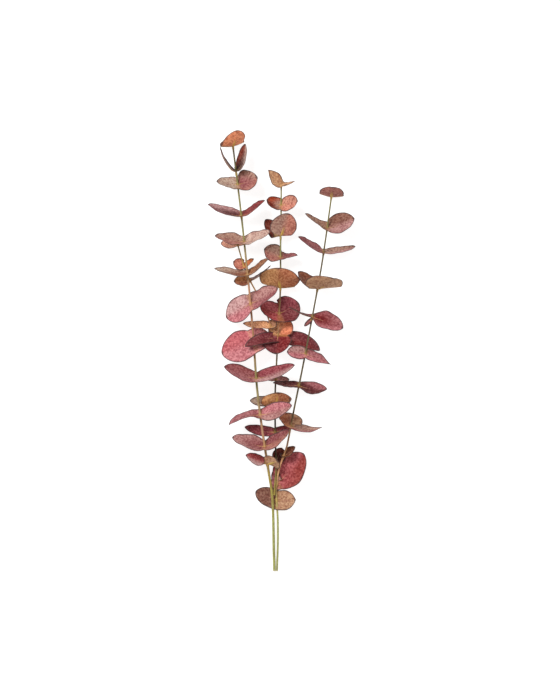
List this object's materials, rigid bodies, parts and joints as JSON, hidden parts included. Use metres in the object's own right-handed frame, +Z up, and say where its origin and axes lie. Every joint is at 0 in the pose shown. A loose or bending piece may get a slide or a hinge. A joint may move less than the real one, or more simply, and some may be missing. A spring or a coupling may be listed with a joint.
{
  "type": "eucalyptus stem",
  "caption": "Forked spray of round-leaved eucalyptus, cut and laid down, its leaves in joined pairs round slender stalks.",
  "frame": {"origin": "middle of the spray's box on the surface that it lies on", "axes": "+Y from the cut end to the tips, +X to the right and +Z up from the surface"},
  "size_m": [0.2165, 0.6465, 0.0612],
  "materials": {
    "leaf": "matt, mottled burgundy, rose and mauve leaves with thin darker edges",
    "stalk": "matt olive bark that turns tan and reddish towards the tips"
  },
  "bodies": {
    "root": {"leafy_stem_left": "leaf", "leafy_stem_middle": "leaf", "leafy_stem_right": "leaf", "leafy_stem_short": "leaf"}
  },
  "joints": []
}
